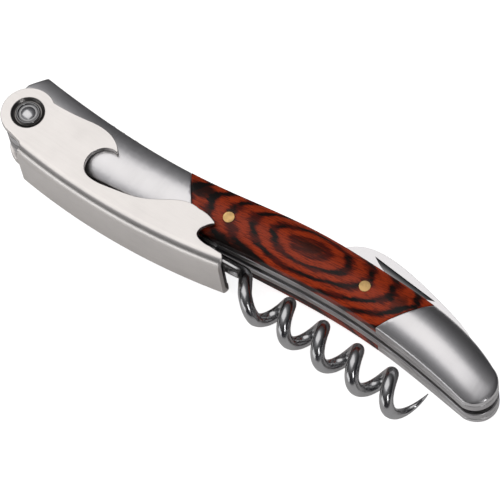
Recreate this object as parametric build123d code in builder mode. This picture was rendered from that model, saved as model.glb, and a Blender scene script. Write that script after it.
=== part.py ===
# Waiters corkscrew, folded: a slim handle with a lever, a worm and a foil blade.
# It lies on its back face. +X runs from the lever's rivet to the butt, +Y to the spine and +Z up
# through the front face. The origin is under the middle of the bounding box.
import os
from math import cos, radians, sin

from build123d import *

os.makedirs("parts", exist_ok=True)

# ---- driving dimensions (mm and degrees) ---------------------------------------------------
# Heights are measured from the mid-plane of the handle. Places along and across the handle
# are measured from the centre of the lever's rivet.
LEVER_HALF_WIDTH = 7.3          # mid-plane to the outer face of a lever ear
LEVER_SHEET = 1.2
FOLD_RADIUS = 2.6
EAR_RADIUS = 5.6
WEB_CENTRE = (20.9, 138.8)      # the back of the lever bows on this circle
WEB_RADIUS = 148.2

LINER_OUTER = 3.05
SLOT_HALF = 1.05
COVER_LIMIT = 9.0               # above every crown
HEAD_END_RADIUS = 5.2
BUTT_END = (111.7, 3.2)

WIRE_RADIUS = 1.4
COIL_RADIUS = 3.13              # to the middle of the wire
COIL_PITCH = 8.43
COIL_FULL_TURNS = 4.05
COIL_TIP_TURNS = 0.5
COIL_AXIS_START = (61.26, -5.43)
COIL_SLOPE = -2.0               # the coil falls away from the handle
COIL_PHASE = 156.0              # where the first full turn starts, from the spine side
TIP_SECTIONS = 5
TIP_RADIUS = 0.12
TIP_FLARE = 1.3                 # the point stands out from the coil, per square turn

WORM_PIVOT = (41.8, 1.2)
WORM_TANG_RADIUS = 2.4
BLADE_PIVOT = (104.8, 4.1)
BLADE_TANG_RADIUS = 3.2
TANG_HALF = 0.85                # blade and worm tang, half thickness
PIVOT_PIN_RADIUS = 1.25
RUNNING_CLEARANCE = 0.05

RIVET_SHANK_RADIUS = 1.6
RIVET_HEAD_RADIUS = 2.55
RIVET_SEAT = 6.68               # under side of the rivet's head
DISH_RADIUS = 3.5
DISH_FLOOR_RADIUS = 2.8
DISH_DEPTH = 0.65
WASHER_RADIUS = 4.2
WASHER_SEAT = 5.4
WASHER_TOP = 6.05

SCALE_PIN_RADIUS = 1.15
SCALE_PINS = [(47.3, 4.1), (78.6, 6.6)]
BLIND_PIN_RADIUS = 1.0
BLIND_PIN_HALF = 4.2
HEAD_PINS = [(12.0, 2.5), (30.5, 5.9)]
SPRING_PINS = [(57.0, 9.3), (66.0, 2.9)]
BUTT_PINS = [(94.0, 2.2)]

# The middle of the bounding box, from the rivet.
MIDDLE_X = (BUTT_END[0] - EAR_RADIUS) / 2
MIDDLE_Y = 2.74

# Bare outlines, from the rivet: the spine runs from the head to the butt.
SPINE = [(-2.9, 9.75), (10.4, 8.42), (20.8, 8.0), (42.4, 9.1), (65.0, 11.95), (79.8, 11.85),
         (99.2, 10.35), (108.4, 7.2)]
BELLY = [(107.4, -1.8), (96.4, -0.1), (76.1, 1.4), (52.8, -0.3), (27.8, -2.7), (0.6, -5.17)]
HEAD_STEP = (-4.9, 5.9)         # the head's end face slants in from here to the spine

# Crown of the covers: distance along, crown across, crown height, radius across.
CROWN = [(-9.0, 2.6, 5.9, 13.0), (12.0, 2.6, 5.9, 13.0), (31.0, 3.1, 5.9, 12.5),
         (45.0, 4.5, 6.3, 11.0), (60.0, 5.8, 7.0, 9.5), (78.0, 6.7, 7.26, 9.0),
         (96.0, 5.6, 7.16, 9.0), (106.0, 3.7, 6.2, 9.0), (114.0, 3.0, 4.0, 9.0)]
CROWN_HALF_WIDTH = 8.4
CROWN_FLOOR = -4.0

# The two ends of each joint line between a bolster and a scale.
HEAD_JOINT = [(34.0, 9.3), (43.0, -2.2)]
BUTT_JOINT = [(91.7, 11.5), (84.4, 0.5)]

MID_PLANE = Plane(origin=(-MIDDLE_X, -MIDDLE_Y, LEVER_HALF_WIDTH))
RIVET_SECTION = Plane(origin=MID_PLANE.origin, x_dir=(1, 0, 0), z_dir=(0, -1, 0))


def level(height):
    """The drawing plane at a height above the handle's mid-plane."""
    return MID_PLANE.offset(height)


def station(along):
    """The plane across the handle: its x is the handle's y, its y is the height."""
    origin = MID_PLANE.from_local_coords((along, 0, 0))
    return Plane(origin=origin, x_dir=(0, 1, 0), z_dir=(1, 0, 0))


def handle_outline():
    """Draws the handle's outline: spine, rounded butt, belly and head."""
    Spline(*SPINE)
    ThreePointArc(SPINE[-1], BUTT_END, BELLY[0])
    Spline(*BELLY)
    ThreePointArc(BELLY[-1], (-HEAD_END_RADIUS * cos(radians(45)), -HEAD_END_RADIUS * sin(radians(45))),
                  (-HEAD_END_RADIUS, 0))
    Line((-HEAD_END_RADIUS, 0), HEAD_STEP)
    Line(HEAD_STEP, SPINE[0])


# ---- cutters -------------------------------------------------------------------------------
with BuildPart() as outline_block:
    with BuildSketch(level(LINER_OUTER)):
        with BuildLine():
            handle_outline()
        make_face()
    extrude(amount=COVER_LIMIT - LINER_OUTER)

with BuildPart() as crown_block:
    for along, across, height, radius in CROWN:
        drop = radius - (radius**2 - CROWN_HALF_WIDTH**2) ** 0.5
        with BuildSketch(station(along)):
            with BuildLine():
                ThreePointArc((across - CROWN_HALF_WIDTH, height - drop), (across, height),
                              (across + CROWN_HALF_WIDTH, height - drop))
                Polyline((across + CROWN_HALF_WIDTH, height - drop),
                         (across + CROWN_HALF_WIDTH, CROWN_FLOOR),
                         (across - CROWN_HALF_WIDTH, CROWN_FLOOR),
                         (across - CROWN_HALF_WIDTH, height - drop))
            make_face()
    loft()

with BuildPart() as blind_pin_holes:
    with BuildSketch(level(-BLIND_PIN_HALF)):
        with Locations(*HEAD_PINS, *SPRING_PINS, *BUTT_PINS):
            Circle(BLIND_PIN_RADIUS)
    extrude(amount=2 * BLIND_PIN_HALF)

with BuildPart() as through_holes:
    with BuildSketch(level(-COVER_LIMIT)):
        with Locations(*SCALE_PINS):
            Circle(SCALE_PIN_RADIUS)
        Circle(RIVET_SHANK_RADIUS)
    extrude(amount=2 * COVER_LIMIT)

with BuildPart() as pivot_pin_holes:
    with BuildSketch(level(-LINER_OUTER)):
        with Locations(WORM_PIVOT, BLADE_PIVOT):
            Circle(PIVOT_PIN_RADIUS)
    extrude(amount=2 * LINER_OUTER)


# ---- covers: bolsters and scales -----------------------------------------------------------
with BuildPart() as front_cover:
    add(outline_block.part)
    add(crown_block.part, mode=Mode.INTERSECT)
    add(blind_pin_holes.part, mode=Mode.SUBTRACT)
    add(through_holes.part, mode=Mode.SUBTRACT)
    with BuildSketch(level(WASHER_SEAT)):
        Circle(WASHER_RADIUS)
    extrude(amount=COVER_LIMIT - WASHER_SEAT, mode=Mode.SUBTRACT)


def joint_plane(ends):
    """The upright plane through a joint line, facing the butt."""
    spine_end = MID_PLANE.from_local_coords((*ends[0], 0))
    belly_end = MID_PLANE.from_local_coords((*ends[1], 0))
    across = spine_end - belly_end
    return Plane(origin=spine_end, x_dir=across, z_dir=across.cross(Vector(0, 0, 1)))


with BuildPart() as front_head_bolster:
    add(front_cover.part)
    split(bisect_by=joint_plane(HEAD_JOINT), keep=Keep.BOTTOM)

with BuildPart() as front_scale:
    add(front_cover.part)
    split(bisect_by=joint_plane(HEAD_JOINT), keep=Keep.TOP)
    split(bisect_by=joint_plane(BUTT_JOINT), keep=Keep.BOTTOM)

with BuildPart() as front_butt_bolster:
    add(front_cover.part)
    split(bisect_by=joint_plane(BUTT_JOINT), keep=Keep.TOP)

with BuildPart() as back_head_bolster:
    mirror(front_head_bolster.part, about=MID_PLANE)

with BuildPart() as back_scale:
    mirror(front_scale.part, about=MID_PLANE)

with BuildPart() as back_butt_bolster:
    mirror(front_butt_bolster.part, about=MID_PLANE)

# ---- liners --------------------------------------------------------------------------------
with BuildPart() as front_liner:
    with BuildSketch(level(SLOT_HALF)):
        with BuildLine():
            handle_outline()
        make_face()
    extrude(amount=LINER_OUTER - SLOT_HALF)
    add(blind_pin_holes.part, mode=Mode.SUBTRACT)
    add(through_holes.part, mode=Mode.SUBTRACT)
    add(pivot_pin_holes.part, mode=Mode.SUBTRACT)

with BuildPart() as back_liner:
    mirror(front_liner.part, about=MID_PLANE)

# ---- pieces in the slot --------------------------------------------------------------------
SPACER_END = 26.0
SPRING_GAP = 2.0
WORM_SPRING_END = 63.0
SLOT_BOX_TOP = 20.0
SLOT_BOX_BOTTOM = -12.0
TANG_TOUCH = 0.1                # gap between a spring and the tang it bears on


def slot_layer():
    """Draws the whole slot layer of the handle, to be cut to a piece's own shape."""
    with BuildSketch(level(-SLOT_HALF)) as outline:
        with BuildLine():
            handle_outline()
        make_face()
    extrude(outline.sketch, amount=2 * SLOT_HALF)
    add(blind_pin_holes.part, mode=Mode.SUBTRACT)
    add(through_holes.part, mode=Mode.SUBTRACT)


def keep_inside(corners):
    """Cuts the part in the making down to what stands over a polygon."""
    with BuildSketch(level(-COVER_LIMIT)) as polygon:
        with BuildLine():
            Polyline(*corners, close=True)
        make_face()
    extrude(polygon.sketch, amount=2 * COVER_LIMIT, mode=Mode.INTERSECT)


with BuildPart() as head_spacer:
    slot_layer()
    keep_inside([(-EAR_RADIUS - SPRING_GAP, SLOT_BOX_BOTTOM), (SPACER_END, SLOT_BOX_BOTTOM),
                 (SPACER_END, SLOT_BOX_TOP), (-EAR_RADIUS - SPRING_GAP, SLOT_BOX_TOP)])

foot_height = WORM_PIVOT[1] + WORM_TANG_RADIUS + TANG_TOUCH
with BuildPart() as worm_spring:
    slot_layer()
    keep_inside([(SPACER_END + SPRING_GAP, SLOT_BOX_TOP), (SPACER_END + SPRING_GAP, 6.4),
                 (38.0, 6.6), (40.2, foot_height), (44.4, foot_height), (45.2, 2.5), (49.4, 2.5),
                 (52.0, 6.6), (WORM_SPRING_END, 8.6), (WORM_SPRING_END, SLOT_BOX_TOP)])

with BuildPart() as blade_spring:
    slot_layer()
    keep_inside([(57.0, 1.0), (66.0, 1.7), (77.0, 2.3), (84.0, 2.1), (90.0, 1.6),
                 (97.0, 0.8), (103.5, -0.2), (103.5, 0.75), (101.3, 2.0), (99.0, 3.8),
                 (95.0, 4.2), (58.5, 4.2)])

# ---- pins and rivets -----------------------------------------------------------------------
with BuildPart() as both_crowns:
    add(crown_block.part)
    split(bisect_by=MID_PLANE, keep=Keep.TOP)
    mirror(about=MID_PLANE)

# The brass pins are sanded flush with both crowns.
with BuildPart() as scale_pins:
    with BuildSketch(level(-COVER_LIMIT)):
        with Locations(*SCALE_PINS):
            Circle(SCALE_PIN_RADIUS)
    extrude(amount=COVER_LIMIT)
    mirror(about=MID_PLANE)
    add(both_crowns.part, mode=Mode.INTERSECT)


def blind_pins(places):
    """Draws the pins that end inside the covers."""
    with BuildSketch(level(-BLIND_PIN_HALF)) as ends:
        with Locations(*places):
            Circle(BLIND_PIN_RADIUS)
    extrude(ends.sketch, amount=2 * BLIND_PIN_HALF)


with BuildPart() as head_pins:
    blind_pins(HEAD_PINS)

with BuildPart() as spring_pins:
    blind_pins(SPRING_PINS)

with BuildPart() as butt_pin:
    blind_pins(BUTT_PINS)


def pivot_pin(place):
    """Draws a pivot pin between the covers, its ends flush with the liners."""
    with BuildSketch(level(-LINER_OUTER)) as end:
        with Locations(place):
            Circle(PIVOT_PIN_RADIUS)
    extrude(end.sketch, amount=2 * LINER_OUTER)


with BuildPart() as worm_pivot_pin:
    pivot_pin(WORM_PIVOT)

with BuildPart() as blade_pivot_pin:
    pivot_pin(BLADE_PIVOT)

# The rivet's head: a rounded rim, a groove, then a domed centre.
RIM_TOP = 7.2
RIM_RADIUS = 0.3
DOME_RADIUS = 1.55
dome_rise = LEVER_HALF_WIDTH - RIM_TOP + RIM_RADIUS
dome_ball = (DOME_RADIUS**2 + dome_rise**2) / (2 * dome_rise)
dome_shoulder = LEVER_HALF_WIDTH - dome_ball + (dome_ball**2 - DOME_RADIUS**2 / 4) ** 0.5
with BuildPart() as rivet_head:
    with BuildSketch(RIVET_SECTION):
        with BuildLine():
            Polyline((0, LEVER_HALF_WIDTH), (0, RIVET_SEAT), (RIVET_HEAD_RADIUS, RIVET_SEAT),
                     (RIVET_HEAD_RADIUS, RIM_TOP - RIM_RADIUS))
            ThreePointArc((RIVET_HEAD_RADIUS, RIM_TOP - RIM_RADIUS),
                          (RIVET_HEAD_RADIUS - RIM_RADIUS, RIM_TOP),
                          (RIVET_HEAD_RADIUS - 2 * RIM_RADIUS, RIM_TOP - RIM_RADIUS))
            Line((RIVET_HEAD_RADIUS - 2 * RIM_RADIUS, RIM_TOP - RIM_RADIUS),
                 (DOME_RADIUS, RIM_TOP - RIM_RADIUS))
            ThreePointArc((DOME_RADIUS, RIM_TOP - RIM_RADIUS), (DOME_RADIUS / 2, dome_shoulder),
                          (0, LEVER_HALF_WIDTH))
        make_face()
    revolve(axis=Axis(MID_PLANE.origin, (0, 0, 1)))

with BuildPart() as lever_rivet:
    with BuildSketch(level(-RIVET_SEAT)):
        Circle(RIVET_SHANK_RADIUS)
    extrude(amount=2 * RIVET_SEAT)
    add(rivet_head.part)

with BuildPart() as rivet_cap:
    mirror(rivet_head.part, about=MID_PLANE)

with BuildPart() as pivot_washers:
    with BuildSketch(level(WASHER_SEAT)):
        Circle(WASHER_RADIUS)
        Circle(RIVET_SHANK_RADIUS, mode=Mode.SUBTRACT)
    extrude(amount=WASHER_TOP - WASHER_SEAT)
    mirror(about=MID_PLANE)

# ---- lever ---------------------------------------------------------------------------------
# A channel folded from sheet: its web bows on a circle, and both sides have one outline.
SIDE_BOTTOM = -12.0
EAR_BOTTOM = (-0.35, -EAR_RADIUS)
EAR_EXIT = (3.1, 4.67)          # where the upper edge leaves the ear
HOOK_TIP = [(20.4, 3.3), (20.5, 2.95), (20.1, 2.9)]
REST_TOP = (41.8, 2.0)
REST_TIP = (46.2, 1.2)
NOTCH_FLOOR = (48.2, -3.45)
NOTCH_CORNER = (51.3, -3.45)


def lever_side():
    """Draws one side of the lever: ear, cap lifter hook, bottle rest and its notch."""
    ThreePointArc(EAR_BOTTOM, (-EAR_RADIUS, 0), EAR_EXIT)
    Spline(EAR_EXIT, (5.9, 4.75), (10.0, 5.15), (14.3, 5.65), (18.0, 5.0), HOOK_TIP[0])
    ThreePointArc(*HOOK_TIP)
    Spline(HOOK_TIP[-1], (17.7, 2.1), (16.2, -1.0), (17.7, -4.1), (20.6, -4.7), (24.4, -4.1),
           (30.1, -2.7), (34.5, -0.3), (37.6, 1.5), REST_TOP)
    Spline(REST_TOP, (44.4, 1.85), REST_TIP)
    Spline(REST_TIP, (45.2, 0.1), (44.5, -1.2), (44.6, -2.6), (45.9, -3.35), NOTCH_FLOOR)
    Line(NOTCH_FLOOR, NOTCH_CORNER)
    Polyline(NOTCH_CORNER, (51.9, -4.1), (52.6, SIDE_BOTTOM), (3.1, SIDE_BOTTOM), (3.1, -6.9),
             (2.6, -6.3), (1.1, -5.9), EAR_BOTTOM)


def web_disc(radius, half_width, edge_radius):
    """Draws a disc on the web's circle, its two rims rounded like the folds of the channel."""
    with BuildSketch(level(-half_width)) as disc:
        with Locations(WEB_CENTRE):
            Circle(radius)
    extrude(disc.sketch, amount=2 * half_width)
    fillet(edges().filter_by(GeomType.CIRCLE), edge_radius)


with BuildPart() as outer_disc:
    web_disc(WEB_RADIUS, LEVER_HALF_WIDTH, FOLD_RADIUS)

with BuildPart() as inner_disc:
    web_disc(WEB_RADIUS - LEVER_SHEET, LEVER_HALF_WIDTH - LEVER_SHEET, FOLD_RADIUS - LEVER_SHEET)

with BuildPart() as front_dish:
    with BuildSketch(level(LEVER_HALF_WIDTH)):
        Circle(DISH_RADIUS)
    with BuildSketch(level(LEVER_HALF_WIDTH - DISH_DEPTH)):
        Circle(DISH_FLOOR_RADIUS)
    loft()

with BuildPart() as lever:
    with BuildSketch(level(-LEVER_HALF_WIDTH)):
        with BuildLine():
            lever_side()
        make_face()
    extrude(amount=2 * LEVER_HALF_WIDTH)
    add(outer_disc.part, mode=Mode.INTERSECT)
    add(inner_disc.part, mode=Mode.SUBTRACT)
    add(front_dish.part, mode=Mode.SUBTRACT)
    add(mirror(front_dish.part, about=MID_PLANE, mode=Mode.PRIVATE), mode=Mode.SUBTRACT)
    with BuildSketch(level(-LEVER_HALF_WIDTH)):
        Circle(RIVET_SHANK_RADIUS + RUNNING_CLEARANCE)
    extrude(amount=2 * LEVER_HALF_WIDTH, mode=Mode.SUBTRACT)

# ---- worm ----------------------------------------------------------------------------------
# Round wire: a flattened tang in the slot, a straight shank, a bend, a coil and a sharp tip.
SHANK_START = (47.0, -2.6, 0)
BEND = [(53.9, -2.2, 0), (55.2, -1.95, 0.7), (57.4, -4.6, 2.6), (59.5, -7.2, 2.6)]
KNUCKLE_RADIUS = 1.46           # at the corners of the bend
TANG_CORNERS = [(40.9, -1.0), (43.9, 2.3), (48.6, -1.25), (48.6, -3.8), (46.4, -3.95)]


def coil_point(turns):
    """The middle of the wire, a number of turns after the coil's start."""
    slope = radians(COIL_SLOPE)
    angle = radians(COIL_PHASE) + radians(360 * turns)
    run = COIL_PITCH * turns
    radius = COIL_RADIUS * (1 + TIP_FLARE * max(0, turns - COIL_FULL_TURNS)**2)
    up = radius * cos(angle)
    return MID_PLANE.from_local_coords((COIL_AXIS_START[0] + run * cos(slope) - up * sin(slope),
                                        COIL_AXIS_START[1] + run * sin(slope) + up * cos(slope),
                                        radius * sin(angle)))


def coil_plane(turns):
    """The plane across the wire, a number of turns after the coil's start."""
    step = 0.001
    return Plane(origin=coil_point(turns), z_dir=coil_point(turns + step) - coil_point(turns - step))


slope_angle = radians(COIL_SLOPE)
coil_axis = Vector(cos(slope_angle), sin(slope_angle), 0)
coil_origin = MID_PLANE.from_local_coords((*COIL_AXIS_START, 0))
coil_base = Plane(origin=coil_origin, x_dir=coil_point(0) - coil_origin, z_dir=coil_axis)
wire_corners = [MID_PLANE.from_local_coords(point) for point in (SHANK_START, *BEND)]
wire_corners.append(coil_point(0))

with BuildPart() as coil:
    coil_path = coil_base.location * Edge.make_helix(COIL_PITCH, COIL_PITCH * COIL_FULL_TURNS, COIL_RADIUS)
    with BuildSketch(Plane(origin=coil_path @ 0, z_dir=coil_path % 0)):
        Circle(WIRE_RADIUS)
    sweep(path=coil_path, is_frenet=True)

tip_planes = [Plane(origin=coil_path @ 1, z_dir=coil_path % 1)]
for number in range(1, TIP_SECTIONS):
    tip_planes.append(coil_plane(COIL_FULL_TURNS + COIL_TIP_TURNS * number / (TIP_SECTIONS - 1)))

with BuildPart() as worm_tip:
    for number, section in enumerate(tip_planes):
        with BuildSketch(section):
            Circle(WIRE_RADIUS + (TIP_RADIUS - WIRE_RADIUS) * number / (TIP_SECTIONS - 1))
    loft()

with BuildPart() as shank:
    for start, end in zip(wire_corners, wire_corners[1:]):
        with BuildSketch(Plane(origin=start, z_dir=end - start)):
            Circle(WIRE_RADIUS)
        extrude(amount=(end - start).length)
    with Locations(*wire_corners[1:]):
        Sphere(KNUCKLE_RADIUS)

with BuildPart() as worm:
    add(coil.part)
    add(shank.part)
    add(worm_tip.part)
    with BuildSketch(level(-TANG_HALF)):
        with Locations(WORM_PIVOT):
            Circle(WORM_TANG_RADIUS)
        with BuildLine():
            Polyline(*TANG_CORNERS, close=True)
        make_face()
    extrude(amount=2 * TANG_HALF)
    with BuildSketch(level(-TANG_HALF)):
        with Locations(WORM_PIVOT):
            Circle(PIVOT_PIN_RADIUS + RUNNING_CLEARANCE)
    extrude(amount=2 * TANG_HALF, mode=Mode.SUBTRACT)

# ---- foil blade ----------------------------------------------------------------------------
TIP = (67.2, 11.6)
HEEL = (101.7, 4.9)
SHOULDER = (103.5, 4.0)
BACK_START = (104.4, 7.3)
NICK = [(74.6, 15.2), (82.0, 12.7), (89.8, 13.8)]
NICK_DEPTH = 0.3
TOOTH_RADIUS = 0.55
TOOTH_COUNT = 14
TEETH = [(75.5, 9.1), (94.5, 6.35)]

with BuildPart() as foil_blade:
    with BuildSketch(level(-TANG_HALF)):
        with BuildLine():
            Spline(BACK_START, (100.1, 11.3), (93.4, 13.7), (84.7, 15.7), (77.4, 16.6), (72.0, 15.9),
                   (68.9, 14.0), TIP)
            Spline(TIP, (71.0, 11.1), (78.0, 8.7), (88.0, 7.1), (97.0, 6.0), HEEL)
            Polyline(HEEL, SHOULDER, BACK_START)
        make_face()
        with Locations(BLADE_PIVOT):
            Circle(BLADE_TANG_RADIUS)
    extrude(amount=2 * TANG_HALF)
    with BuildSketch(level(TANG_HALF - NICK_DEPTH)):
        with BuildLine():
            Line(NICK[2], NICK[0])
            ThreePointArc(*NICK)
        make_face()
    extrude(amount=NICK_DEPTH, mode=Mode.SUBTRACT)
    with BuildSketch(level(-TANG_HALF)):
        for number in range(TOOTH_COUNT):
            share = number / (TOOTH_COUNT - 1)
            with Locations((TEETH[0][0] + (TEETH[1][0] - TEETH[0][0]) * share,
                            TEETH[0][1] + (TEETH[1][1] - TEETH[0][1]) * share)):
                Circle(TOOTH_RADIUS)
        with Locations(BLADE_PIVOT):
            Circle(PIVOT_PIN_RADIUS + RUNNING_CLEARANCE)
    extrude(amount=2 * TANG_HALF, mode=Mode.SUBTRACT)

# ---- STEP files ----------------------------------------------------------------------------
PIECES = {
    "front_liner": front_liner, "back_liner": back_liner,
    "front_head_bolster": front_head_bolster, "back_head_bolster": back_head_bolster,
    "front_scale": front_scale, "back_scale": back_scale,
    "front_butt_bolster": front_butt_bolster, "back_butt_bolster": back_butt_bolster,
    "head_spacer": head_spacer, "worm_spring": worm_spring, "blade_spring": blade_spring,
    "scale_pins": scale_pins, "head_pins": head_pins, "spring_pins": spring_pins,
    "butt_pin": butt_pin, "worm_pivot_pin": worm_pivot_pin, "blade_pivot_pin": blade_pivot_pin,
    "lever_rivet": lever_rivet, "rivet_cap": rivet_cap, "pivot_washers": pivot_washers,
    "lever": lever, "worm": worm, "foil_blade": foil_blade,
}
for name, piece in PIECES.items():
    piece.part.label = name
    export_step(piece.part, f"parts/{name}.step")
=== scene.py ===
"""Finishes and fine detail of a folding waiters corkscrew, round its fixed CAD frame.

Everything is in metres, in the frame of the CAD part: +X runs from the lever's rivet to the
butt, +Y to the spine and +Z up through the front face.
"""

from math import cos, pi, radians, sin

import bpy
from mathutils import Matrix, Vector


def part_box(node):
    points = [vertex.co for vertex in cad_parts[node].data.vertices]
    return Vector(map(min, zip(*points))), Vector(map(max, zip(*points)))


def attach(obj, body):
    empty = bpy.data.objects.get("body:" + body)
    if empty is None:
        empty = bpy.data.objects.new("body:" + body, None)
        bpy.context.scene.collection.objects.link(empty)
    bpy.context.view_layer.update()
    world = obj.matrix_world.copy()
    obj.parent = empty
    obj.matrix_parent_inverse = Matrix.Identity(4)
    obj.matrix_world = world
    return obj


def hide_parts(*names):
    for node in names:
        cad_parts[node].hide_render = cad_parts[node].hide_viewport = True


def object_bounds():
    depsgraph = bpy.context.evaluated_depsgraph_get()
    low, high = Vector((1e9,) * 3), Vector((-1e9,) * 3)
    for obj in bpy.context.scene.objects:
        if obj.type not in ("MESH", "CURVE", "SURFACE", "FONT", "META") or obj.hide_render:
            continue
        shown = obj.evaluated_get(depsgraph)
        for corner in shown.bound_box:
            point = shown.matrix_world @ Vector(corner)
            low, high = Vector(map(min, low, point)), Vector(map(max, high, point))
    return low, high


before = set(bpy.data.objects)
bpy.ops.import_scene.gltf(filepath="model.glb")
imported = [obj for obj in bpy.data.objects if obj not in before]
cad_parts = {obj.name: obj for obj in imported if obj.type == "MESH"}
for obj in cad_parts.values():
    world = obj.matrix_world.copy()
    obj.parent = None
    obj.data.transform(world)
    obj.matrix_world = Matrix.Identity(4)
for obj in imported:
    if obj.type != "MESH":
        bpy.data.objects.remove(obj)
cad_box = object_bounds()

bl_info = {
    "name": "Waiters corkscrew",
    "version": (1, 0, 0),
    "blender": (4, 5, 0),
    "location": "3D View > Sidebar > Corkscrew",
    "description": "Adds the finishes, the eased edges and the wire worm of a waiters corkscrew",
    "category": "Object",
}

MM = 0.001

# The rivet's axis in the frame. Places on the handle are given in mm from it.
rivet_low, rivet_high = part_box("lever_rivet")
RIVET_X = (rivet_low.x + rivet_high.x) / 2
RIVET_Y = (rivet_low.y + rivet_high.y) / 2
MIDDLE_Z = (cad_box[0].z + cad_box[1].z) / 2


def at(along, across, height=0.0):
    """The frame's point for a place in mm from the rivet and from the handle's mid-plane."""
    return Vector((RIVET_X + along * MM, RIVET_Y + across * MM, MIDDLE_Z + height * MM))


def scaled(colour, share):
    """A colour made darker or lighter."""
    return [min(1, part * share) for part in colour]


# ---- settings ------------------------------------------------------------------------------
class CorkscrewWood(bpy.types.PropertyGroup):
    """The dyed laminate of the two scales."""

    light: bpy.props.FloatVectorProperty(
        name="Light layers", description="Colour of the bright layers", subtype="COLOR",
        size=3, min=0, max=1, default=(0.52, 0.052, 0.010))
    middle: bpy.props.FloatVectorProperty(
        name="Red layers", description="Colour of the deep red layers", subtype="COLOR",
        size=3, min=0, max=1, default=(0.125, 0.010, 0.004))
    dark: bpy.props.FloatVectorProperty(
        name="Dark layers", description="Colour of the black layers", subtype="COLOR",
        size=3, min=0, max=1, default=(0.007, 0.004, 0.003))
    ring: bpy.props.FloatProperty(
        name="Ring spacing", description="From one dark ring to the next, across the handle",
        unit="LENGTH", min=0.0005, max=0.005, default=2.2 * MM)
    stretch: bpy.props.FloatProperty(
        name="Ring stretch", description="How much longer the rings are than wide",
        min=1, max=8, default=2.3)


class CorkscrewSteel(bpy.types.PropertyGroup):
    """The satin and polished steel."""

    satin: bpy.props.FloatVectorProperty(
        name="Satin steel", description="Colour of the bolsters, liners and blade",
        subtype="COLOR", size=3, min=0, max=1, default=(0.66, 0.65, 0.66))
    sheet: bpy.props.FloatVectorProperty(
        name="Lever sheet", description="Colour of the folded lever",
        subtype="COLOR", size=3, min=0, max=1, default=(0.74, 0.71, 0.69))
    polished: bpy.props.FloatVectorProperty(
        name="Polished steel", description="Colour of the rivet and the worm",
        subtype="COLOR", size=3, min=0, max=1, default=(0.58, 0.58, 0.59))
    roughness: bpy.props.FloatProperty(
        name="Satin roughness", description="Roughness of the satin steel", subtype="FACTOR",
        min=0, max=1, default=0.3)
    eased: bpy.props.FloatProperty(
        name="Eased edge", description="Width of the eased edge of the steel pieces",
        unit="LENGTH", min=0, max=0.0005, default=0.13 * MM)


class CorkscrewWire(bpy.types.PropertyGroup):
    """The wire of the worm."""

    radius: bpy.props.FloatProperty(
        name="Wire radius", description="Radius of the worm's wire", unit="LENGTH",
        min=0.0005, max=0.003, default=1.4 * MM)
    coil: bpy.props.FloatProperty(
        name="Coil radius", description="Coil axis to the middle of the wire", unit="LENGTH",
        min=0.001, max=0.006, default=3.13 * MM)
    pitch: bpy.props.FloatProperty(
        name="Pitch", description="Travel of one turn", unit="LENGTH",
        min=0.004, max=0.012, default=8.43 * MM)
    turns: bpy.props.FloatProperty(
        name="Turns", description="Turns of full-size wire", min=2, max=6, default=4.05)
    tip_turns: bpy.props.FloatProperty(
        name="Tip turns", description="Turns over which the wire tapers to its point",
        min=0.2, max=1, default=0.5)


class CorkscrewStage(bpy.types.PropertyGroup):
    """The floor, the lights and the camera."""

    floor: bpy.props.FloatProperty(
        name="Floor", description="Side of the floor", unit="LENGTH", min=1, max=20, default=8)
    distance: bpy.props.FloatProperty(
        name="Distance", description="Camera to the middle of the handle", unit="LENGTH",
        min=0.2, max=3, default=0.7)
    lens: bpy.props.FloatProperty(
        name="Lens", description="Focal length of the camera", unit="CAMERA",
        min=50, max=500, default=254.5)
    sky: bpy.props.FloatProperty(
        name="Room light", description="Strength of the light from the room", min=0, max=5,
        default=1.0)
    softbox: bpy.props.FloatProperty(
        name="Softbox power", description="Power of the large overhead lamp in watts",
        min=0, max=200, default=1.6)


SETTINGS = {
    "corkscrew_wood": CorkscrewWood,
    "corkscrew_steel": CorkscrewSteel,
    "corkscrew_wire": CorkscrewWire,
    "corkscrew_stage": CorkscrewStage,
}


# ---- finishes ------------------------------------------------------------------------------
class Value:
    """A value on a shader socket. Its operators add Math nodes."""

    def __init__(self, finish, socket):
        self.finish = finish
        self.socket = socket

    def maths(self, operation, *terms):
        return self.finish.node("ShaderNodeMath", {"operation": operation}, dict(enumerate(terms)))

    def __add__(self, other):
        return self.maths("ADD", self, other)

    __radd__ = __add__

    def __sub__(self, other):
        return self.maths("SUBTRACT", self, other)

    def __rsub__(self, other):
        return self.maths("SUBTRACT", other, self)

    def __mul__(self, other):
        return self.maths("MULTIPLY", self, other)

    __rmul__ = __mul__

    def __truediv__(self, other):
        return self.maths("DIVIDE", self, other)

    def __rtruediv__(self, other):
        return self.maths("DIVIDE", other, self)

    def __pow__(self, other):
        return self.maths("POWER", self, other)


MIX_FIRST, MIX_SECOND, MIX_RESULT = 6, 7, 2     # a Mix node's colour sockets


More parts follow.
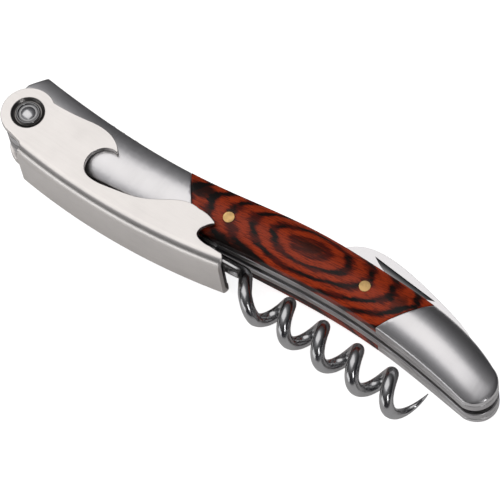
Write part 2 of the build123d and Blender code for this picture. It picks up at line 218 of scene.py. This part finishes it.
class Finish:
    """A material in the making."""

    def __init__(self, name, **constants):
        self.material = bpy.data.materials.new(name)
        self.material.use_nodes = True
        self.tree = self.material.node_tree
        self.shader = next(n for n in self.tree.nodes if n.type == "BSDF_PRINCIPLED")
        for key, value in constants.items():
            socket = self.shader.inputs[key.replace("_", " ").title().replace("Ior", "IOR")]
            socket.default_value = (*value, 1) if hasattr(value, "__len__") else value

    def node(self, kind, settings=None, inputs=None, output=0):
        """Adds a node with its settings, then its sockets' values or links."""
        made = self.tree.nodes.new(kind)
        for key, value in (settings or {}).items():
            if key == "stops":
                ramp = made.color_ramp.elements
                while len(ramp) < len(value):
                    ramp.new(1)
                for element, (position, colour) in zip(ramp, value):
                    element.position = position
                    element.color = (*colour, 1)
            else:
                setattr(made, key, value)
        for key, value in (inputs or {}).items():
            self.feed(made.inputs[key], value)
        return Value(self, made.outputs[output])

    def feed(self, socket, value):
        """Links a value to a socket, or sets a plain number, colour or vector on it."""
        if isinstance(value, Value):
            self.tree.links.new(value.socket, socket)
        elif hasattr(value, "__len__") and len(value) < len(socket.default_value):
            socket.default_value = (*value, 1)
        else:
            socket.default_value = value

    def set(self, name, value):
        """Feeds one socket of the shader."""
        self.feed(self.shader.inputs[name], value)

    def place(self, centre, turn=0.0):
        """Object coordinates in mm, centred on a point and turned about Z."""
        coordinates = self.node("ShaderNodeTexCoord", output="Object")
        moved = self.node("ShaderNodeVectorMath", {"operation": "SUBTRACT"},
                          {0: coordinates, 1: centre})
        return self.node("ShaderNodeMapping", None, {
            "Vector": moved, "Rotation": (0, 0, -turn), "Scale": (1 / MM, 1 / MM, 1 / MM)})

    def stretched(self, vector, scale):
        """A vector scaled along each axis."""
        return self.node("ShaderNodeVectorMath", {"operation": "MULTIPLY"}, {0: vector, 1: scale})

    def parts(self, vector):
        """The three numbers of a vector."""
        split = self.tree.nodes.new("ShaderNodeSeparateXYZ")
        self.feed(split.inputs[0], vector)
        return [Value(self, output) for output in split.outputs]

    def from_rivet(self):
        """The distance from the axis of the lever's rivet, in mm."""
        along, across, _ = self.parts(self.place(at(0, 0)))
        return (along * along + across * across) ** 0.5

    def noise(self, vector, scale, detail=2.0, roughness=0.5):
        """Smooth noise from 0 to 1 with a mean of a half."""
        return self.node("ShaderNodeTexNoise", None, {
            "Vector": vector, "Scale": scale, "Detail": detail, "Roughness": roughness})

    def ramp(self, factor, stops):
        """A colour that changes with a factor."""
        return self.node("ShaderNodeValToRGB", {"stops": stops}, {"Fac": factor})

    def blend(self, factor, first, second):
        """The first colour at a factor of 0 and the second at 1."""
        return self.node("ShaderNodeMix", {"data_type": "RGBA"},
                         {"Factor": factor, MIX_FIRST: first, MIX_SECOND: second}, MIX_RESULT)

    def rise(self, value, low, high):
        """Rises smoothly from 0 at the low limit to 1 at the high one, and is level beyond."""
        return self.node("ShaderNodeMapRange", {"clamp": True, "interpolation_type": "SMOOTHSTEP"},
                         {"Value": value, "From Min": low, "From Max": high})

    def bump(self, height, depth):
        """Feeds the normal from a height of 0 to 1 that stands for a depth in metres."""
        self.set("Normal", self.node("ShaderNodeBump", None, {
            "Strength": 1.0, "Distance": depth, "Height": height}))


MIDDLE = at(53, 3)              # the middle of the handle
# Painted shade round the rivet, which changes between two distances from its axis, in mm.
PAINTED_DISH_SHADE = (3.3, 3.6)               # the lever gets painted shade inside these, in the dish round the rivet
PAINTED_GROOVE_SHADE = (1.45, 1.75)           # the rivet gets painted shade from these out to the dish's rim


def satin_steel(name, colour, roughness, grain=(0.35, 9.0, 9.0), depth=0.0005 * MM):
    """Steel rubbed with fine abrasive: short grain in one direction, cloudy sheen, small rubs, and
    painted shade in the dish round the lever's rivet.
    """
    finish = Finish(name, metallic=1.0)
    place = finish.place(MIDDLE)
    fine = finish.noise(finish.stretched(place, grain), 1.0, detail=3, roughness=0.6)
    coarse = finish.noise(finish.stretched(place, grain), 0.3, detail=2)
    cloud = finish.noise(place, 0.16, detail=3)
    rubs = finish.noise(finish.stretched(place, (0.5, 1.3, 1.3)), 0.9, detail=4, roughness=0.7)
    tone = finish.ramp(cloud * 0.5 + coarse * 0.25 + fine * 0.25, [
        (0.3, scaled(colour, 0.93)), (0.5, colour), (0.72, scaled(colour, 1.05))])
    # Painted shade: the colour darkens to 30% inside the dish round the lever's rivet.
    finish.set("Base Color", finish.blend(
        1 - finish.rise(finish.from_rivet(), *PAINTED_DISH_SHADE), tone, scaled(colour, 0.3)))
    finish.set("Roughness", roughness - 0.04 + fine * 0.05 + finish.rise(rubs, 0.55, 0.75) * 0.04)
    finish.bump(fine * 0.7 + coarse * 0.3, depth)
    return finish.material


# The nail nick, which gets painted shade, in mm from the rivet and from the handle's mid-plane.
NICK_TOP = (74.6, 15.2)         # the two ends of its edge nearest the blade's back
NICK_END = (89.8, 13.8)
NICK_SLOPE = (NICK_END[1] - NICK_TOP[1]) / (NICK_END[0] - NICK_TOP[0])
NICK_FLOOR = (0.45, 0.5)        # the painted shade starts between these heights
NICK_RIM = (0.74, 0.8)          # and ends between these
NICK_WIDTH = (0.1, 2.4)         # and fades between these distances from that edge
NICK_SHADE_COLOUR = (0.03, 0.032, 0.034)


def blade_steel(name, colour):
    """Ground blade steel, with painted shade in the nail nick."""
    finish = Finish(name, metallic=1.0)
    place = finish.place(at(0, 0))
    along, across, height = finish.parts(place)
    grind = finish.noise(finish.stretched(place, (7.0, 0.5, 0.5)), 1.0, detail=3, roughness=0.6)
    under = NICK_TOP[1] + (along - NICK_TOP[0]) * NICK_SLOPE - across
    # Painted shade in the nail nick, darkest next to its edge nearest the blade's back.
    nick_shade = (1 - finish.rise(height, *NICK_RIM)) * finish.rise(height, *NICK_FLOOR)
    shade = nick_shade * (1 - finish.rise(under, *NICK_WIDTH) * 0.75)
    tone = finish.ramp(grind, [(0.3, scaled(colour, 0.95)), (0.7, colour)])
    finish.set("Base Color", finish.blend(shade, tone, NICK_SHADE_COLOUR))
    finish.set("Roughness", 0.27 + grind * 0.06)
    finish.bump(grind, 0.0005 * MM)
    return finish.material


def polished_steel(name, colour, roughness):
    """Bright steel with faint drawing lines, a little haze, and painted shade from the groove
    round the rivet's dome out to the dish's rim.
    """
    finish = Finish(name, metallic=1.0)
    place = finish.place(MIDDLE)
    haze = finish.noise(place, 0.5, detail=3)
    lines = finish.noise(finish.stretched(place, (1.0, 3.0, 3.0)), 1.4, detail=2)
    tone = finish.ramp(haze, [(0.3, scaled(colour, 0.9)), (0.7, colour)])
    radius = finish.from_rivet()
    # Painted shade: the rivet darkens from its groove out to the dish's rim.
    groove_shade = finish.rise(radius, *PAINTED_GROOVE_SHADE) * (1 - finish.rise(radius, *PAINTED_DISH_SHADE))
    finish.set("Base Color", finish.blend(groove_shade, tone, scaled(colour, 0.35)))
    finish.set("Roughness", roughness + finish.rise(haze, 0.4, 0.75) * 0.06)
    finish.bump(lines, 0.0012 * MM)
    return finish.material


HEAD_PIN = at(47.3, 4.1)        # the brass pin nearer the head
FLUSH_BRASS = (0.72, 0.47, 0.20)
WASHER_BRASS = (0.62, 0.47, 0.26)


def brass(name, colour):
    """Brass with fine scratches and some tarnish, duller towards the butt."""
    finish = Finish(name, metallic=1.0)
    place = finish.place(HEAD_PIN)
    scratches = finish.noise(finish.stretched(place, (0.8, 14, 14)), 1.0, detail=2)
    tarnish = finish.noise(place, 0.9, detail=3)
    along = finish.parts(place)[0]
    finish.set("Base Color", finish.blend(
        finish.rise(tarnish, 0.42, 0.75) * 0.5 + finish.rise(along, -8, 8) * 0.5,
        colour, scaled(colour, 0.5)))
    finish.set("Roughness", 0.26 + scratches * 0.14)
    finish.bump(scratches, 0.001 * MM)
    return finish.material


EYE = (65.0, 7.6)               # the middle of the oval rings, mm from the rivet
GRAIN_TURN = radians(7.0)
FIRST_RING = 3.7                # mm across, from the eye
CREST = 6.9                     # height of the crown there, mm from the handle's mid-plane
LAYER_SLANT = 0.4               # mm of layers met per mm down the walls
WANDER, RIPPLE = 1.8, 0.9       # how far the rings stray from true ovals, mm
FRAY = 2.4                      # how far the fibres break up the rings' edges
# Dark clouds painted on the wood, the first two as painted shade: the middle, half the length and
# width in mm, and the strength.
CLOUDS_AND_SHADE = (((39.5, 6.2), (3.6, 1.7), 0.85),      # painted shade behind the bottle rest
          ((52.0, -0.6), (8.0, 1.8), 0.9),      # painted shade along the belly
          ((86.3, 7.0), (1.6, 2.4), 0.6))       # at the butt bolster


def laminate(wood):
    """Dyed red and black veneers, whose layers the rounded scale shows as oval rings."""
    finish = Finish("laminated_wood", coat_roughness=0.2, specular_ior_level=0.16)
    place = finish.place(at(*EYE), GRAIN_TURN)
    along, across, height = finish.parts(place)
    wander = finish.noise(finish.stretched(place, (0.07, 0.2, 0.2)), 1.0, detail=2)
    ripple = finish.noise(finish.stretched(place, (0.3, 0.8, 0.8)), 1.0, detail=3, roughness=0.6)
    tint = finish.noise(finish.stretched(place, (0.16, 0.45, 0.45)), 1.0, detail=4, roughness=0.6)
    fibre = finish.noise(finish.stretched(place, (0.26, 4.6, 3.4)), 1.0, detail=4, roughness=0.72)
    pores = finish.noise(finish.stretched(place, (0.5, 9.0, 7.0)), 1.0, detail=2)

    # Layers are counted across the handle from the eye, and down the walls.
    depth = CREST - finish.node("ShaderNodeMath", {"operation": "ABSOLUTE"}, {0: height})
    distance = ((along / wood.stretch) ** 2 + across * across + 0.02) ** 0.5
    layers = distance + depth * LAYER_SLANT + (wander - 0.5) * WANDER + (ripple - 0.5) * RIPPLE
    ring = finish.node("ShaderNodeMath", {"operation": "COSINE"},
                       {0: (layers - FIRST_RING) * (2 * pi * MM / wood.ring)})
    rings = finish.rise(ring + (fibre - 0.5) * FRAY, 0.1, 1.15) * finish.rise(layers, 1.0, 3.0)
    eye = 1 - finish.rise(layers + (fibre - 0.5) * 0.8, 0.5, 1.7)
    on_handle = finish.parts(finish.place(at(0, 0)))
    # Painted shade behind the bottle rest and along the belly, and a dark cloud at the butt
    # bolster.
    clouds_and_shade = 0
    for middle, size, strength in CLOUDS_AND_SHADE:
        offset = [(on_handle[axis] - middle[axis]) / size[axis] for axis in (0, 1)]
        reach = offset[0] ** 2 + offset[1] ** 2 + (ripple - 0.5) * 2.2
        clouds_and_shade = (1 - finish.rise(reach, 0.2, 1.7)) * strength + clouds_and_shade
    glow = tint * 0.4 + fibre * 0.6 - ring * 0.1
    red = finish.blend(finish.rise(glow, 0.40, 0.58), wood.middle, wood.light)
    dark_share = finish.rise(
        rings * finish.rise(tint, 0.34, 0.56) + eye * 0.75 + clouds_and_shade, 0.0, 1.0)
    body = finish.blend(dark_share, red, wood.dark)
    streaked = finish.blend(finish.rise(pores, 0.5, 0.68) * 0.7, body, wood.dark)
    finish.set("Base Color", streaked)
    finish.set("Roughness", 0.34 + finish.rise(pores, 0.5, 0.8) * 0.2)
    finish.set("Coat Weight", 0.06 - finish.rise(pores, 0.5, 0.8) * 0.04)
    finish.bump(1 - finish.rise(pores, 0.55, 0.8), 0.004 * MM)
    return finish.material


# ---- modelling -----------------------------------------------------------------------------
MERGE_DISTANCE = 0.0001 * MM
FLAT_ANGLE = radians(0.08)      # triangles flatter than this are one face
CREASE_ANGLE = radians(32)      # edges sharper than this are eased
EASED_SEGMENTS = 2
SMOOTH_ANGLE = radians(50)      # edges sharper than this stay crisp in the shading
LARGE_FACE_WEIGHT = 80          # above 50, large faces set the shading along their edges


def only(piece):
    """Makes a piece the one selected and active object."""
    bpy.ops.object.select_all(action="DESELECT")
    piece.select_set(True)
    bpy.context.view_layer.objects.active = piece


def dress(piece, material):
    """Gives a piece its one material."""
    piece.data.materials.clear()
    piece.data.materials.append(material)


def finish_node(node, material):
    """Gives a CAD node that stays its material."""
    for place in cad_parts[node].material_slots:
        place.material = material


def copy_of(node, name):
    """A copy of a CAD node with its loose triangles merged, ready to be shaped."""
    piece = bpy.data.objects.new(name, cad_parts[node].data.copy())
    bpy.context.scene.collection.objects.link(piece)
    only(piece)
    bpy.ops.mesh.customdata_custom_splitnormals_clear()
    bpy.ops.object.mode_set(mode="EDIT")
    bpy.ops.mesh.select_all(action="SELECT")
    bpy.ops.mesh.remove_doubles(threshold=MERGE_DISTANCE)
    bpy.ops.mesh.dissolve_limited(angle_limit=FLAT_ANGLE)
    bpy.ops.object.mode_set(mode="OBJECT")
    return piece


def ease(piece, width):
    """Eases the sharp edges of a piece, as polishing does."""
    only(piece)
    if width:
        bevel = piece.modifiers.new("eased edges", "BEVEL")
        bevel.width = width
        bevel.segments = EASED_SEGMENTS
        bevel.limit_method = "ANGLE"
        bevel.angle_limit = CREASE_ANGLE
        bevel.use_clamp_overlap = False
        bpy.ops.object.modifier_apply(modifier=bevel.name)
    bpy.ops.object.shade_smooth_by_angle(angle=SMOOTH_ANGLE)
    weighted = piece.modifiers.new("even shading", "WEIGHTED_NORMAL")
    weighted.keep_sharp = True
    weighted.weight = LARGE_FACE_WEIGHT
    bpy.ops.object.modifier_apply(modifier=weighted.name)


def eased_copy(node, name, body, material, width):
    """Stands a copy with eased edges in for a CAD node."""
    piece = copy_of(node, name)
    ease(piece, width)
    dress(piece, material)
    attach(piece, body)
    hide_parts(node)


SOFT_EDGE = 1.8                 # the bolsters' and liners' edges, times the eased width
KEEN_EDGE = 0.5                 # the blade's edges
RIVET_ROUGHNESS = 0.16


class CORKSCREW_OT_handle(bpy.types.Operator):
    """Finishes the bolsters, the liners and what lies in the slot"""

    bl_idname = "corkscrew.handle"
    bl_label = "Handle steel"

    def execute(self, context):
        steel = context.scene.corkscrew_steel
        width = steel.eased * SOFT_EDGE
        bolster = satin_steel("satin_bolster", steel.satin, steel.roughness,
                              grain=(1.3, 0.16, 0.16), depth=0.012 * MM)
        liner = satin_steel("ground_liner", scaled(steel.satin, 0.8), 0.32,
                            grain=(0.4, 6.0, 12.0), depth=0.003 * MM)
        spring = satin_steel("dark_spring", scaled(steel.satin, 0.5), 0.4)
        ground = satin_steel("ground_pin", steel.satin, 0.35)
        for side in ("front", "back"):
            for end in ("head", "butt"):
                eased_copy(f"{side}_{end}_bolster", f"{end}_bolster_{side}", "handle",
                           bolster, width)
            eased_copy(f"{side}_liner", f"liner_{side}", "handle", liner, width)
        for node in ("head_spacer", "worm_spring", "blade_spring"):
            finish_node(node, spring)
        for node in ("head_pins", "spring_pins", "butt_pin", "worm_pivot_pin", "blade_pivot_pin"):
            finish_node(node, ground)
        return {"FINISHED"}


class CORKSCREW_OT_scales(bpy.types.Operator):
    """Finishes the two wooden scales and their brass pins"""

    bl_idname = "corkscrew.scales"
    bl_label = "Scales"

    def execute(self, context):
        wood = laminate(context.scene.corkscrew_wood)
        for side in ("front", "back"):
            eased_copy(f"{side}_scale", f"scale_{side}", "handle", wood,
                       context.scene.corkscrew_steel.eased)
        finish_node("scale_pins", brass("flush_brass", FLUSH_BRASS))
        finish_node("pivot_washers", brass("washer_brass", WASHER_BRASS))
        return {"FINISHED"}


class CORKSCREW_OT_lever(bpy.types.Operator):
    """Finishes the folded lever and its rivet"""

    bl_idname = "corkscrew.lever"
    bl_label = "Lever and rivet"

    def execute(self, context):
        steel = context.scene.corkscrew_steel
        sheet = satin_steel("satin_sheet", steel.sheet, steel.roughness + 0.02,
                            grain=(0.5, 8.0, 8.0))
        eased_copy("lever", "lever_sheet", "lever", sheet, steel.eased)
        rivet = polished_steel("polished_rivet", steel.polished, RIVET_ROUGHNESS)
        finish_node("lever_rivet", rivet)
        finish_node("rivet_cap", rivet)
        return {"FINISHED"}


class CORKSCREW_OT_foil_blade(bpy.types.Operator):
    """Finishes the folded foil blade"""

    bl_idname = "corkscrew.foil_blade"
    bl_label = "Foil blade"

    def execute(self, context):
        steel = context.scene.corkscrew_steel
        flat = blade_steel("satin_blade", scaled(steel.satin, 1.2))
        eased_copy("foil_blade", "blade_of_foil_cutter", "foil_blade", flat,
                   steel.eased * KEEN_EDGE)
        return {"FINISHED"}


COIL_START = (61.26, -5.43)     # on the coil's axis, mm from the rivet
COIL_SLOPE = radians(-2.0)
COIL_PHASE = radians(156)       # where the coil starts, round its axis from the spine side
SHANK_AND_BEND = ((45.0, -2.75, 0), (47.5, -2.6, 0), (50.5, -2.4, 0), (53.1, -2.25, 0),
                  (55.3, -2.35, 0.75), (57.3, -4.5, 2.35), (59.2, -7.0, 2.75))
POINTS_PER_TURN = 12
EXTRA_TIP_POINTS = 2            # the taper is followed more closely
TIP_FLARE = 1.3                 # the point stands out from the coil, per square turn
TIP_LOSS = 0.92                 # share of the wire's thickness lost at the point
TIP_FULLNESS = 1.15             # above 1 the wire stays thicker before its point
WIRE_LENGTHS = 4                # lengths of wire between two points
WIRE_ROUNDNESS = 8              # bevel resolution of the wire's section
WIRE_SMOOTH_ANGLE = radians(60)
WIRE_ROUGHNESS = 0.19
TANG_CUT = 47.2                 # the tang is cut from the CAD worm here


class CORKSCREW_OT_worm(bpy.types.Operator):
    """Models the worm as one bent wire with a forged tang"""

    bl_idname = "corkscrew.worm"
    bl_label = "Worm"

    def coil_point(self, wire, turns):
        """The middle of the wire, a number of turns after the coil's start."""
        angle = COIL_PHASE + 2 * pi * turns
        run = wire.pitch / MM * turns
        radius = wire.coil / MM * (1 + TIP_FLARE * max(0, turns - wire.turns) ** 2)
        up = radius * cos(angle)
        return (COIL_START[0] + run * cos(COIL_SLOPE) - up * sin(COIL_SLOPE),
                COIL_START[1] + run * sin(COIL_SLOPE) + up * cos(COIL_SLOPE),
                radius * sin(angle))

    def execute(self, context):
        wire = context.scene.corkscrew_wire
        steel = context.scene.corkscrew_steel
        bright = polished_steel("polished_wire", scaled(steel.polished, 0.85), WIRE_ROUGHNESS)
        route = [(point, 1.0) for point in SHANK_AND_BEND]
        steps = round(wire.turns * POINTS_PER_TURN)
        for step in range(1, steps + 1):
            route.append((self.coil_point(wire, wire.turns * step / steps), 1.0))
        tip_steps = round(wire.tip_turns * POINTS_PER_TURN) + EXTRA_TIP_POINTS
        for step in range(1, tip_steps + 1):
            share = step / tip_steps
            route.append((self.coil_point(wire, wire.turns + wire.tip_turns * share),
                          1 - TIP_LOSS * share ** TIP_FULLNESS))
        bpy.ops.object.select_all(action="DESELECT")
        bpy.ops.curve.primitive_bezier_curve_add(radius=MM, location=(0, 0, 0))
        piece = context.object
        piece.name = "worm_wire"
        curve = piece.data
        points = curve.splines[0].bezier_points
        points.add(len(route) - len(points))
        for knot, (place, size) in zip(points, route):
            knot.co = at(*place)
            knot.radius = size
            knot.handle_left_type = knot.handle_right_type = "AUTO"
        curve.resolution_u = WIRE_LENGTHS
        curve.bevel_depth = wire.radius
        curve.bevel_resolution = WIRE_ROUNDNESS
        curve.use_fill_caps = True
        only(piece)
        bpy.ops.object.convert(target="MESH")
        piece = context.object
        bpy.ops.object.shade_smooth_by_angle(angle=WIRE_SMOOTH_ANGLE)
        dress(piece, bright)
        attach(piece, "worm")
        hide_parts("worm")

        tang = copy_of("worm", "worm_tang")
        bpy.ops.object.mode_set(mode="EDIT")
        bpy.ops.mesh.select_all(action="SELECT")
        bpy.ops.mesh.bisect(plane_co=at(TANG_CUT, 0), plane_no=(1, 0, 0), use_fill=True,
                            clear_outer=True)
        bpy.ops.object.mode_set(mode="OBJECT")
        ease(tang, steel.eased)
        dress(tang, bright)
        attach(tang, "worm")
        return {"FINISHED"}


# ---- stage ---------------------------------------------------------------------------------
# Directions in the frame that the camera sees as right and down, and what it looks at.
VIEW_RIGHT = Vector((0.801, 0.592, -0.088))
VIEW_DOWN = Vector((0.503, -0.746, -0.437))
TARGET = Vector((-0.00025, 0.00006, 0.0073))
SENSOR = 36.0
NEAREST, FURTHEST = 0.01, 50    # the camera's clipping distances, m

FLOOR_COLOUR = (0.93, 0.93, 0.93)
FLOOR_BOUNCE = (0.10, 0.095, 0.09)      # its light on the object, where the camera sees white
FLOOR_GLOW = 0.85
WHITE = (1, 1, 1)

# The room's light by how near it is to the softbox: 0 is square to it and 1 behind it.
SOFTBOX_SIDE = Vector((-0.34, 0.06, 0.93))
ROOM_FAR = (0.03, 0.03, 0.035)
ROOM_LEVELS = ((0.35, 0.04), (0.6, 0.1), (0.78, 0.2), (0.9, 0.48))
ROOM_NEAR = (0.56, 0.55, 0.54)
ROOM_BLUE = 1.03                # the levels are this much bluer than grey

# Each lamp's direction and distance, size, share of the softbox's power, colour and stretch.
# The strip is past the butt on the belly side, and the fold's lamp low on the belly side.
LAMPS = {
    "softbox": (SOFTBOX_SIDE, 0.8, 0.68, 1.0, (1, 0.985, 0.97), 1.45),
    "strip": ((0.75, -0.35, 0.55), 0.7, 0.1, 0.3, WHITE, 3.0),
    "fold": ((-0.3, -0.93, 0.2), 0.6, 0.55, 0.32, WHITE, 0.4),
}


class CORKSCREW_OT_stage(bpy.types.Operator):
    """Adds the pale floor, the soft lights and the camera"""

    bl_idname = "corkscrew.stage"
    bl_label = "Stage"

    def floor(self, stage):
        """A wide floor under the object."""
        bpy.ops.object.select_all(action="DESELECT")
        bpy.ops.mesh.primitive_plane_add(size=stage.floor, location=(0, 0, 0))
        ground = bpy.context.object
        ground.name = "floor"
        paper = Finish("white_paper", base_color=FLOOR_COLOUR, roughness=0.9,
                       emission_strength=FLOOR_GLOW)
        seen = paper.node("ShaderNodeLightPath")
        paper.set("Emission Color", paper.blend(seen, FLOOR_BOUNCE, WHITE))
        dress(ground, paper.material)

    def lamp(self, name, towards, distance, size, power, colour, stretch):
        """A soft lamp in a direction from the object, turned to it."""
        light = bpy.data.lights.new(name, "AREA")
        light.shape = "RECTANGLE"
        light.size = size
        light.size_y = size * stretch
        light.energy = power
        light.color = colour
        lamp = bpy.data.objects.new(name, light)
        bpy.context.scene.collection.objects.link(lamp)
        direction = Vector(towards).normalized()
        lamp.location = TARGET + direction * distance
        lamp.rotation_mode = "QUATERNION"
        lamp.rotation_quaternion = (-direction).to_track_quat("-Z", "Y")

    def room(self, stage):
        """Light from the room: bright round the softbox, darker the further from it."""
        world = bpy.data.worlds.new("studio")
        bpy.context.scene.world = world
        world.use_nodes = True
        tree = world.node_tree
        nodes = tree.nodes
        background = nodes["Background"]
        coordinates = nodes.new("ShaderNodeTexCoord")
        nearness = nodes.new("ShaderNodeVectorMath")
        nearness.operation = "DOT_PRODUCT"
        tree.links.new(coordinates.outputs["Generated"], nearness.inputs[0])
        nearness.inputs[1].default_value = SOFTBOX_SIDE.normalized()
        ramp = nodes.new("ShaderNodeValToRGB")
        tree.links.new(nearness.outputs["Value"], ramp.inputs[0])
        stops = ramp.color_ramp.elements
        stops[0].position, stops[0].color = 0.0, (*ROOM_FAR, 1)
        stops[1].position, stops[1].color = 1.0, (*ROOM_NEAR, 1)
        for position, level in ROOM_LEVELS:
            stops.new(position).color = (level, level, level * ROOM_BLUE, 1)
        camera_ray = nodes.new("ShaderNodeLightPath")
        mix = nodes.new("ShaderNodeMix")
        mix.data_type = "RGBA"
        tree.links.new(camera_ray.outputs["Is Camera Ray"], mix.inputs["Factor"])
        tree.links.new(ramp.outputs[0], mix.inputs[MIX_FIRST])
        mix.inputs[MIX_SECOND].default_value = (*WHITE, 1)
        tree.links.new(mix.outputs[MIX_RESULT], background.inputs["Color"])
        background.inputs["Strength"].default_value = stage.sky

    def camera(self, stage):
        """The camera, looking down at the folded tool."""
        toward = VIEW_RIGHT.cross(VIEW_DOWN).normalized()
        down = toward.cross(VIEW_RIGHT).normalized()
        right = down.cross(toward)
        data = bpy.data.cameras.new("camera")
        data.sensor_width = SENSOR
        data.lens = stage.lens
        data.clip_start, data.clip_end = NEAREST, FURTHEST
        camera = bpy.data.objects.new("camera", data)
        bpy.context.scene.collection.objects.link(camera)
        turn = Matrix((right, -down, -toward)).transposed().to_4x4()
        camera.matrix_world = Matrix.Translation(TARGET - toward * stage.distance) @ turn
        bpy.context.scene.camera = camera

    def execute(self, context):
        stage = context.scene.corkscrew_stage
        context.scene.view_settings.view_transform = "Standard"
        self.floor(stage)
        self.room(stage)
        for name, (towards, distance, size, share, colour, stretch) in LAMPS.items():
            self.lamp(name, towards, distance, size, stage.softbox * share, colour, stretch)
        self.camera(stage)
        return {"FINISHED"}


class CORKSCREW_PT_panel(bpy.types.Panel):
    """Lists the pieces of the corkscrew"""

    bl_idname = "CORKSCREW_PT_panel"
    bl_label = "Waiters corkscrew"
    bl_space_type = "VIEW_3D"
    bl_region_type = "UI"
    bl_category = "Corkscrew"

    def draw(self, context):
        for name, group in SETTINGS.items():
            box = self.layout.box()
            for setting in group.__annotations__:
                box.prop(getattr(context.scene, name), setting)
        for operator in OPERATORS:
            self.layout.operator(operator.bl_idname)


OPERATORS = (CORKSCREW_OT_handle, CORKSCREW_OT_scales, CORKSCREW_OT_lever,
             CORKSCREW_OT_foil_blade, CORKSCREW_OT_worm, CORKSCREW_OT_stage)


def register():
    """Adds the settings, the operators and the panel."""
    for group in SETTINGS.values():
        bpy.utils.register_class(group)
    for name, group in SETTINGS.items():
        setattr(bpy.types.Scene, name, bpy.props.PointerProperty(type=group))
    for kind in (*OPERATORS, CORKSCREW_PT_panel):
        bpy.utils.register_class(kind)


def unregister():
    """Takes them away again."""
    for kind in (CORKSCREW_PT_panel, *reversed(OPERATORS)):
        bpy.utils.unregister_class(kind)
    for name, group in SETTINGS.items():
        delattr(bpy.types.Scene, name)
        bpy.utils.unregister_class(group)


def main():
    """Makes every piece and the stage."""
    register()
    for operator in OPERATORS:
        group, action = operator.bl_idname.split(".")
        getattr(getattr(bpy.ops, group), action)()


if __name__ == "__main__":
    main()
